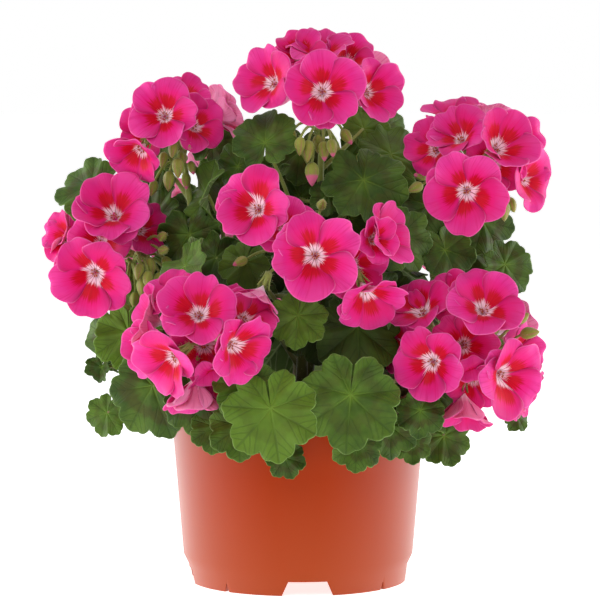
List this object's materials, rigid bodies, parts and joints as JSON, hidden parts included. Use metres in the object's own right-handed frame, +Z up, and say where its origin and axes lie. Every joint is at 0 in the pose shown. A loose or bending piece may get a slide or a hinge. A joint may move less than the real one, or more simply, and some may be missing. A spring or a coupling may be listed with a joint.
{
  "type": "potted geranium",
  "caption": "Bushy zonal geranium with heads of ruffled magenta-pink flowers over scalloped green leaves, growing in a tapered terracotta-coloured plastic pot.",
  "frame": {"origin": "centre of the bounding box in X and Y, at the height of the pot's feet, within a few millimetres of the pot's axis", "axes": "+Z up along the pot's axis; the front, the side that was seen, faces -Y; +X is to the viewer's right"},
  "size_m": [0.2598, 0.2321, 0.2842],
  "materials": {
    "pot": "satin",
    "soil": "matte",
    "foliage": "matte",
    "petals": "matte"
  },
  "bodies": {
    "root": {"pot": "pot", "soil": "soil", "shoot_crown": "foliage", "shoot_upper_left": "foliage", "shoot_left": "foliage", "shoot_centre": "foliage", "shoot_upper_right": "foliage", "shoot_lower_left": "foliage", "shoot_lower_right": "foliage", "shoot_rear_left": "foliage", "shoot_rear_right": "foliage", "shoot_rear_low": "foliage", "head_crown": "petals", "head_upper_left": "petals", "head_left": "petals", "head_centre": "petals", "head_upper_right": "petals", "head_lower_left": "petals", "head_lower_right": "petals", "head_rear_left": "petals", "head_rear_right": "petals", "head_rear_low": "petals"}
  },
  "joints": []
}
